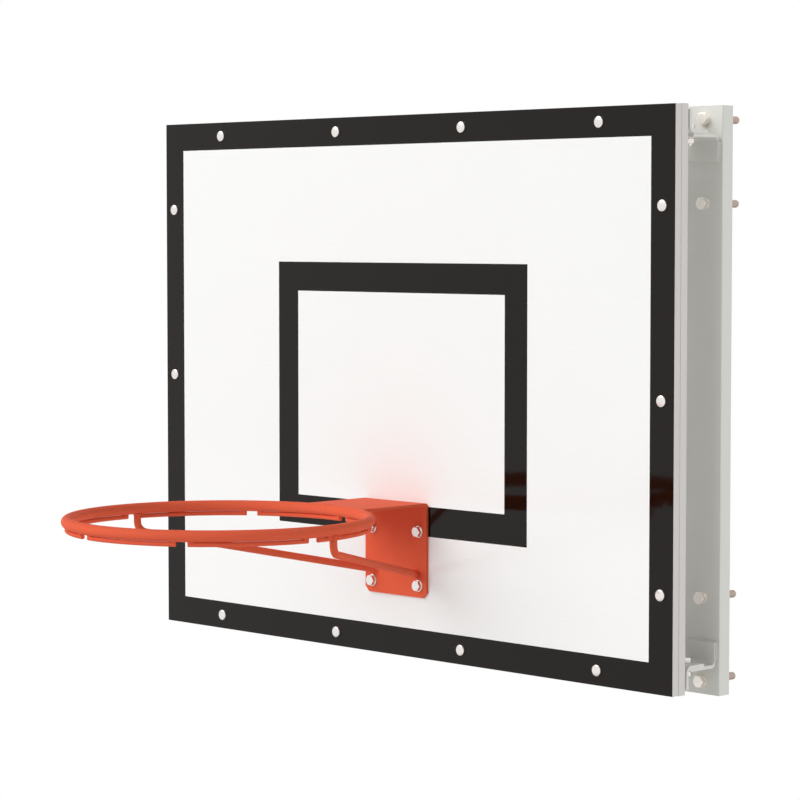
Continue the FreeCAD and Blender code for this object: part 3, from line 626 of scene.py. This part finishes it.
def shank_profile(bar, length, thread_length):
    """A plain bar below its seat, then thread ridges down to a chamfered tip."""
    radius = bar / 2
    root = radius * (1 - THREAD_DEPTH_SHARE)
    top = thread_length - length
    points = [(radius, 0)]
    for turn in range(int(thread_length / THREAD_PITCH)):
        crest = top - turn * THREAD_PITCH
        points += [(radius, crest), (root, crest - THREAD_PITCH / 2)]
    return points + [(root, -length), (0, -length)]


def bolt(head, bar, length, thread_length):
    return hexagon(*head, shank_profile(bar, length, thread_length))


def nut(flats, height, bar):
    bore = bar / 2 + BORE_CLEARANCE
    return hexagon(flats, height, [(bore, 0), (bore, height)], nut=True)


def washer(outside, height, bar):
    edge = FASTENER_EDGE
    rim = outside / 2
    bore = bar / 2 + BORE_CLEARANCE
    return lathe([(bore, 0), (rim - edge, 0), (rim, edge), (rim, height - edge), (rim - edge, height),
                  (bore, height)], closed=True)


def capped_screw(length):
    """A round cap that swells from a low wall, with its threaded bar."""
    width, height = SCREW_CAP
    angles = [pi / 2 * step / BEND_STEPS for step in range(BEND_STEPS + 1)]
    cap = [(width / 2 * sin(angle), CAP_WALL + (height - CAP_WALL) * cos(angle)) for angle in angles]
    return lathe(cap + [(width / 2, 0)] + shank_profile(SCREW_BAR, length, THREAD_START), CAP_STEPS)


def spaced(first, last, count):
    """Evenly spaced places from the first to the last."""
    return [first + (last - first) * number / (count - 1) for number in range(count)]


def on(points, facing):
    return [Matrix.Translation(point) @ facing for point in points]


def add_fasteners(name, node, *shapes_and_places, material=bright_zinc):
    finish_piece(copies(*shapes_and_places), name, [material], "bright_zinc", node)


def thickness(node):
    low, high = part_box(node)
    return high.y - low.y


def make_board_screws():
    """The border screws with their spacers, washers and nuts."""
    cap_width, cap_height = SCREW_CAP
    washer_width, washer_height = SCREW_WASHER
    low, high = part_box("angle_screws")
    seat = low.y + cap_height
    half_cap = cap_width / 2
    reach = high.x - half_cap
    rows = spaced(low.z + half_cap, high.z - half_cap, SCREW_ROWS)
    angle_places = [(x, z) for z in rows for x in spaced(-reach, reach, SCREW_COLUMNS)]
    side_low, side_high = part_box("frame_screws")
    side = side_high.x - half_cap
    levels = spaced(side_low.z + half_cap, side_high.z - half_cap, SCREW_LEVELS)
    frame_places = [(x, z) for x in (-side, side) for z in levels]

    def at(places, depth, facing):
        return on([(x, depth, z) for x, z in places], facing)

    for name, node, end, places in (("angle_cap_screws", "angle_screws", high.y, angle_places),
                                    ("frame_cap_screws", "frame_screws", side_high.y, frame_places)):
        add_fasteners(name, node, (capped_screw(end - seat), at(places, seat, FRONT)))
    spacer_low, spacer_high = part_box("angle_spacers")
    spacer_width = 2 * (spacer_high.x - reach)
    add_fasteners("spacer_rings", "angle_spacers",
                  (washer(spacer_width, thickness("angle_spacers"), SCREW_BAR),
                   at(angle_places, spacer_low.y, BACK)))
    washers_low, washers_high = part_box("screw_washers")
    angle_seat = washers_high.y - washer_height
    disc_places = at(angle_places, angle_seat, BACK) + at(frame_places, washers_low.y, BACK)
    add_fasteners("screw_discs", "screw_washers",
                  (washer(washer_width, washer_height, SCREW_BAR), disc_places))
    lift = Matrix.Translation((0, washer_height, 0))
    add_fasteners("screw_hex_nuts", "screw_nuts",
                  (nut(*SCREW_NUT, SCREW_BAR), [lift @ place for place in disc_places]))


def make_hoop_bolts():
    """Four bolts through plate, board and uprights."""
    flats, _ = HOOP_HEAD
    low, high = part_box("hoop_bolts")
    column = high.x - corner_reach(flats)
    places = [(x, z) for x in (-column, column) for z in (low.z + flats / 2, high.z - flats / 2)]

    def at(depth, facing):
        return on([(x, depth, z) for x, z in places], facing)

    front_low, front_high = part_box("hoop_bolt_washers")
    back_low, back_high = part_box("hoop_nut_washers")
    disc_width = 2 * (front_high.x - column)
    length = high.y - front_low.y
    add_fasteners("hoop_hex_bolts", "hoop_bolts",
                  (bolt(HOOP_HEAD, HOOP_BOLT_BAR, length, THREAD_START), at(front_low.y, FRONT)))
    add_fasteners("hoop_front_discs", "hoop_bolt_washers",
                  (washer(disc_width, thickness("hoop_bolt_washers"), HOOP_BOLT_BAR),
                   at(front_high.y, FRONT)))
    add_fasteners("hoop_back_discs", "hoop_nut_washers",
                  (washer(disc_width, thickness("hoop_nut_washers"), HOOP_BOLT_BAR),
                   at(back_low.y, BACK)))
    add_fasteners("hoop_hex_nuts", "hoop_nuts",
                  (nut(flats, thickness("hoop_nuts"), HOOP_BOLT_BAR), at(back_high.y, BACK)))


def make_clamp_bolts():
    """Upright bolts that hold the angles' shelves on the brackets."""
    flats, _ = CLAMP_HEAD
    low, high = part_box("clamp_bolts")
    washers_low, washers_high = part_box("clamp_washers")
    side = high.x - corner_reach(flats)
    depth = (low.y + high.y) / 2
    disc_width = washers_high.y - washers_low.y
    disc_height = CLAMP_WASHER_HEIGHT
    grip = ANGLE_THICKNESS + BRACKET_THICKNESS
    shelf_tops = [washers_high.z - disc_height, washers_low.z + disc_height + grip]

    def at(lift, facing=UPWARD):
        return on([(x, depth, top + lift) for x in (-side, side) for top in shelf_tops], facing)

    length = washers_low.z + 2 * disc_height + grip - low.z
    add_fasteners("clamp_hex_bolts", "clamp_bolts",
                  (bolt(CLAMP_HEAD, CLAMP_BAR, length, THREAD_START), at(disc_height)))
    add_fasteners("clamp_discs", "clamp_washers",
                  (washer(disc_width, disc_height, CLAMP_BAR), at(0) + at(-grip - disc_height)))
    add_fasteners("clamp_hex_nuts", "clamp_nuts",
                  (nut(flats, CLAMP_NUT_HEIGHT, CLAMP_BAR), at(-grip - disc_height - CLAMP_NUT_HEIGHT)))


def make_wall_bolts():
    """Long bolts through the rails, on the record's two bolt patterns."""
    low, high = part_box("wall_bolts")
    washers_low, washers_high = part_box("wall_washers")
    patterns = [mount["dims"] for mount in frame["record"]["mounts"] if mount["kind"] == "bolt_pattern"]
    spans = [(dims["spacing_x_mm"] * MM / 2, dims["spacing_y_mm"] * MM / 2) for dims in patterns]
    places = [(x_sign * x, z_sign * z) for x, z in spans for x_sign in (-1, 1) for z_sign in (-1, 1)]

    def at(depth):
        return on([(x, depth, z) for x, z in places], FRONT)

    disc_width = 2 * (washers_high.x - spans[0][0])
    length = high.y - washers_low.y
    bm = copies((bolt(WALL_HEAD, WALL_BOLT_BAR, length, WALL_THREAD), at(washers_low.y)))
    for face in bm.faces:
        face.material_index = int(face.calc_center_median().y > washers_high.y)
    # The wall bolts and their washers below take the zinc whose base is painted lighter against the shade
    # behind the board. The thread past the washers takes the thread zinc.
    finish_piece(bm, "wall_hex_bolts", [dull_zinc_painted_light, thread_zinc], "bright_zinc", "wall_bolts")
    add_fasteners("wall_discs", "wall_washers",
                  (washer(disc_width, thickness("wall_washers"), WALL_BOLT_BAR), at(washers_high.y)),
                  material=dull_zinc_painted_light)


# Weld beads

def bead(path, radius):
    """A rippled weld along a line of points: bridged rings of two sizes, with closed ends or all round."""
    bm = bmesh.new()
    all_round = (path[0] - path[-1]).length < MERGE_DISTANCE
    points = path[:-1] if all_round else path
    before = [points[-1 if all_round else 0]] + points
    after = points[1:] + [points[0 if all_round else -1]]
    rings = []
    for number, (last, point, following) in enumerate(zip(before, points, after)):
        turn = (following - last).to_track_quat("Z", "Y").to_matrix().to_4x4()
        swell = radius * (1 + BEAD_RIPPLE * (number % 2))
        made = bmesh.ops.create_circle(bm, segments=BEAD_SIDES, radius=swell,
                                       matrix=Matrix.Translation(point) @ turn)
        rings.append({edge for vert in made["verts"] for edge in vert.link_edges})
    for ring, next_ring in zip(rings, rings[1:] + rings[:1] * all_round):
        bmesh.ops.bridge_loops(bm, edges=list(ring | next_ring))
    if not all_round:
        for ring in (rings[0], rings[-1]):
            bmesh.ops.edgeloop_fill(bm, edges=list(ring))
    return bm


def line(start, end):
    start, end = Vector(start), Vector(end)
    steps = max(LEAST_LINE_STEPS, round((end - start).length / BEAD_STEP))
    return [start.lerp(end, step / steps) for step in range(steps + 1)]


def arc(centre, across, upward, begin=0.0, end=2 * pi):
    """Points on an arc or ellipse, which is drawn by its two half axes."""
    length = max(across.length, upward.length) * (end - begin)
    steps = max(LEAST_ARC_STEPS, round(length / BEAD_STEP))
    angles = [begin + (end - begin) * step / steps for step in range(steps + 1)]
    return [centre + across * cos(angle) + upward * sin(angle) for angle in angles]


def add_welds(name, paths, radius, material, slot):
    beads = [(bead(path, radius), [UPWARD]) for path in paths]
    finish_piece(copies(*beads), name, [material], slot)


def rod_ends(node, centre):
    """The angles at which a net rod begins and ends about the ring's middle."""
    points = [vert.co - centre for vert in frame["nodes"][node].data.vertices]
    middle = sum(points, Vector())
    heading = atan2(middle.y, middle.x)
    turns = [(atan2(point.y, point.x) - heading + pi) % (2 * pi) - pi for point in points]
    return heading + min(turns), heading + max(turns)


def make_hoop_welds():
    centre, radius = ring_measures()
    plate_low, plate_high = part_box("hoop_plate")
    outside = radius + RING_BAR / 2
    begins = acos(WELD_REACH_SHARE * plate_high.x / outside)

    def round_line(distance, height, begin, end):
        middle = Vector((centre.x, centre.y, height))
        return arc(middle, Vector((distance, 0, 0)), Vector((0, distance, 0)), begin, end)

    plate_top = plate_high.z
    plate_base = plate_high.z - PLATE_THICKNESS
    add_welds("ring_welds", [
        round_line(outside - HOOP_BEAD / 2, plate_top, begins, pi - begins),
        round_line(outside + HOOP_BEAD / 2, plate_base - HOOP_BEAD / 2, begins, pi - begins),
    ], HOOP_BEAD, hoop_coat, "hoop_coat")

    post_x = radius * cos(BRACE_ANGLE)
    post_y = centre.y + radius * sin(BRACE_ANGLE)
    plate_front = plate_high.y - PLATE_THICKNESS
    foot_z = plate_low.z + BRACE_FOOT_RISE
    half_bar = BRACE_BAR / 2
    paths = []
    for sign in (-1, 1):
        inward = post_x - BRACE_FOOT_WIDTH / 2
        backward = plate_front - post_y
        stretch = hypot(inward, backward) / backward
        foot = Vector((sign * BRACE_FOOT_WIDTH / 2, plate_front, foot_z))
        paths.append(arc(foot, Vector((half_bar * stretch, 0, 0)), Vector((0, 0, half_bar))))
        post_top = Vector((sign * post_x, post_y, centre.z - RING_BAR / 2 - RING_GAP))
        paths.append(arc(post_top, Vector((half_bar, 0, 0)), Vector((0, half_bar, 0))))
    add_welds("brace_welds", paths, BRACE_BEAD, hoop_coat, "hoop_coat")

    rods = [name for name in frame["nodes"] if name.startswith("net_rod_")]
    rod_top = max(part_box(name)[1].z for name in rods)
    tacks = []
    for name in rods:
        begin, end = rod_ends(name, centre)
        span = min(TACK_LENGTH / radius, (end - begin) / 2)
        for side in (-TACK_OFFSET, TACK_OFFSET):
            tacks.append(round_line(radius + side, rod_top, begin, begin + span))
            tacks.append(round_line(radius + side, rod_top, end - span, end))
    add_welds("net_rod_tacks", tacks, TACK_BEAD, hoop_coat, "hoop_coat")
    back = Vector((0, centre.y + radius, centre.z))
    seam_radius = RING_BAR / 2 - SEAM_BEAD / 2
    seam = arc(back, Vector((0, seam_radius, 0)), Vector((0, 0, seam_radius)))
    add_welds("ring_butt_seam", [seam], SEAM_BEAD, hoop_coat, "hoop_coat")


def make_bracket_welds():
    """Fillets down both sides and along the foot of each bracket, on the rail's web."""
    paths = []
    for side in ("left", "right"):
        for level, sign in (("upper", 1), ("lower", -1)):
            low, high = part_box(f"{side}_{level}_bracket")
            shelf, foot = (high.z, low.z) if sign > 0 else (low.z, high.z)
            depth = high.y - BRACKET_BEAD / 2
            bend = sign * (BRACKET_THICKNESS + BRACKET_BEND)
            for x in (low.x, high.x):
                paths.append(line((x, depth, foot), (x, depth, shelf - bend)))
            paths.append(line((low.x, depth, foot), (high.x, depth, foot)))
    add_welds("bracket_welds", paths, BRACKET_BEAD, rail_coat, "galvanised_steel")


def make_frame_welds():
    """Seams on the frame's rear face: its four mitres, and the ends of the two uprights."""
    low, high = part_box("frame_top_rail")
    bottom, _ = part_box("frame_bottom_rail")
    width = high.z - low.z
    depth = high.y - FRAME_BEAD / 2
    paths = []
    for x_sign in (-1, 1):
        for corner, z_sign in ((high.z, 1), (bottom.z, -1)):
            outer = (x_sign * (high.x - FRAME_BEAD), depth, corner - z_sign * FRAME_BEAD)
            inner = (x_sign * (high.x - width), depth, corner - z_sign * width)
            paths.append(line(outer, inner))
    for side in ("left", "right"):
        tube_low, tube_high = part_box(f"{side}_hoop_upright")
        for z in (tube_low.z, tube_high.z):
            paths.append(line((tube_low.x, depth, z), (tube_high.x, depth, z)))
    add_welds("frame_welds", paths, FRAME_BEAD, frame_coat, "frame_grey")


coat_bars()
make_board()
make_frame()
make_board_angles()
make_brackets()
make_rails()
make_hoop_plate()
make_board_screws()
make_hoop_bolts()
make_clamp_bolts()
make_wall_bolts()
make_hoop_welds()
make_bracket_welds()
make_frame_welds()


# Studio

# Brightness all round, and the patches added to it: where each lies, the cosines of its edge, its brightness
STUDIO_LIGHT = 0.06
FRONT_PATCH = Vector((0, -1, 0.2)), (0.3, 0.9), 0.15
UPPER_FRONT_PATCH = Vector((-0.2, -0.9, 0.45)), (0.85, 0.97), 2.95
RIGHT_FRONT_PATCH = Vector((0.7, -0.7, 0.2)), (0.3, 0.9), 0.04
RIGHT_PATCH = Vector((1, 0, 0.1)), (0.3, 0.9), 0.15
RIGHT_REAR_PATCH = Vector((0.55, 0.83, 0.1)), (0.6, 0.95), 1.65
GROUND_PATCH = Vector((0, 0, -1)), (0.06, 0.22), 0.5
PATCHES = FRONT_PATCH, UPPER_FRONT_PATCH, RIGHT_FRONT_PATCH, RIGHT_PATCH, RIGHT_REAR_PATCH, GROUND_PATCH
KEY_PLACE = Vector((-4.16, -4.99, 6.24))
KEY_SIZE = 8.2
KEY_POWER = 330
FLOOR_LEVEL = -1.25
FLOOR_RADIUS = 2.0
FLOOR_SIDES = 96
FLOOR_COLOUR = srgb(248, 247, 246)
FLOOR_ROUGHNESS = 0.9
FADE_START_SHARE = 0.45
FADE_END_SHARE = 0.98
KEEP_LEVEL = 1, 1, 0
WHITE = 1, 1, 1, 1


def make_world():
    """A soft studio of large patches of light, which is plain white to the camera and in reflections."""
    world = bpy.data.worlds.new("studio")
    bpy.context.scene.world = world
    world.use_nodes = True
    tree = world.node_tree
    tree.nodes.clear()
    way = add_node(tree, "TexCoord").outputs["Generated"]
    level = STUDIO_LIGHT
    for direction, (edge, core), brightness in PATCHES:
        toward = add_node(tree, "VectorMath", operation="DOT_PRODUCT")
        feed(tree, way, toward.inputs[0])
        feed(tree, direction.normalized(), toward.inputs[1])
        share = add_node(tree, "MapRange", interpolation_type="SMOOTHSTEP")
        feed(tree, toward.outputs["Value"], share.inputs["Value"])
        feed(tree, edge, share.inputs["From Min"])
        feed(tree, core, share.inputs["From Max"])
        added = add_node(tree, "Math", operation="MULTIPLY_ADD")
        feed(tree, share.outputs["Result"], added.inputs[0])
        feed(tree, brightness, added.inputs[1])
        feed(tree, level, added.inputs[2])
        level = added.outputs[0]
    light = add_node(tree, "Background")
    feed(tree, WHITE, light.inputs["Color"])
    feed(tree, level, light.inputs["Strength"])
    white = add_node(tree, "Background")
    feed(tree, WHITE, white.inputs["Color"])
    rays = add_node(tree, "LightPath").outputs
    seen = rays["Is Camera Ray"]
    for kind in ("Is Glossy Ray", "Is Transmission Ray"):
        either = add_node(tree, "Math", operation="MAXIMUM")
        feed(tree, seen, either.inputs[0])
        feed(tree, rays[kind], either.inputs[1])
        seen = either.outputs[0]
    pick = add_node(tree, "MixShader")
    feed(tree, seen, pick.inputs["Fac"])
    feed(tree, light.outputs[0], pick.inputs[1])
    feed(tree, white.outputs[0], pick.inputs[2])
    feed(tree, pick.outputs[0], add_node(tree, "OutputWorld").inputs["Surface"])


def make_key_light():
    """A large soft lamp to the upper left of the board."""
    data = bpy.data.lights.new("key", "AREA")
    data.shape = "DISK"
    data.size = KEY_SIZE
    data.energy = KEY_POWER
    lamp = bpy.data.objects.new("key", data)
    bpy.context.scene.collection.objects.link(lamp)
    lamp.location = KEY_PLACE
    lamp.rotation_euler = (-KEY_PLACE).to_track_quat("-Z", "Y").to_euler()
    lamp.visible_camera = False


def make_floor():
    """A pale floor well below the goal, which melts into the white round about."""
    bm = bmesh.new()
    bmesh.ops.create_circle(bm, cap_ends=True, segments=FLOOR_SIDES, radius=FLOOR_RADIUS,
                            matrix=Matrix.Translation((0, 0, FLOOR_LEVEL)))
    mesh = bpy.data.meshes.new("floor")
    bm.to_mesh(mesh)
    bm.free()
    mesh.materials.append(make_floor_material())
    floor = bpy.data.objects.new("floor", mesh)
    bpy.context.scene.collection.objects.link(floor)


def make_floor_material():
    """A pale finish that fades out towards the floor's rim."""
    material = bpy.data.materials.new("floor")
    material.use_nodes = True
    tree = material.node_tree
    shader = tree.nodes["Principled BSDF"]
    feed(tree, FLOOR_COLOUR, shader.inputs["Base Color"])
    feed(tree, FLOOR_ROUGHNESS, shader.inputs["Roughness"])
    flat = add_node(tree, "VectorMath", operation="MULTIPLY")
    feed(tree, add_node(tree, "TexCoord").outputs["Object"], flat.inputs[0])
    feed(tree, KEEP_LEVEL, flat.inputs[1])
    away = add_node(tree, "VectorMath", operation="LENGTH")
    feed(tree, flat.outputs["Vector"], away.inputs[0])
    fade = add_node(tree, "MapRange", interpolation_type="SMOOTHSTEP")
    feed(tree, away.outputs["Value"], fade.inputs["Value"])
    feed(tree, FLOOR_RADIUS * FADE_START_SHARE, fade.inputs["From Min"])
    feed(tree, FLOOR_RADIUS * FADE_END_SHARE, fade.inputs["From Max"])
    pick = add_node(tree, "MixShader")
    feed(tree, fade.outputs["Result"], pick.inputs["Fac"])
    feed(tree, shader.outputs[0], pick.inputs[1])
    feed(tree, add_node(tree, "BsdfTransparent").outputs[0], pick.inputs[2])
    feed(tree, pick.outputs[0], tree.nodes["Material Output"].inputs["Surface"])
    return material


def make_camera():
    data = bpy.data.cameras.new("photo_camera")
    data.lens = CAMERA_LENS
    data.sensor_width = SENSOR_WIDTH
    camera = bpy.data.objects.new("photo_camera", data)
    bpy.context.scene.collection.objects.link(camera)
    camera.location = CAMERA_PLACE
    level_reach = cos(CAMERA_ELEVATION)
    look = Vector((-sin(CAMERA_AZIMUTH) * level_reach, cos(CAMERA_AZIMUTH) * level_reach,
                   -sin(CAMERA_ELEVATION)))
    camera.rotation_euler = look.to_track_quat("-Z", "Y").to_euler()
    bpy.context.scene.camera = camera


make_world()
make_key_light()
make_floor()
make_camera()
bpy.context.scene.view_settings.view_transform = "Standard"
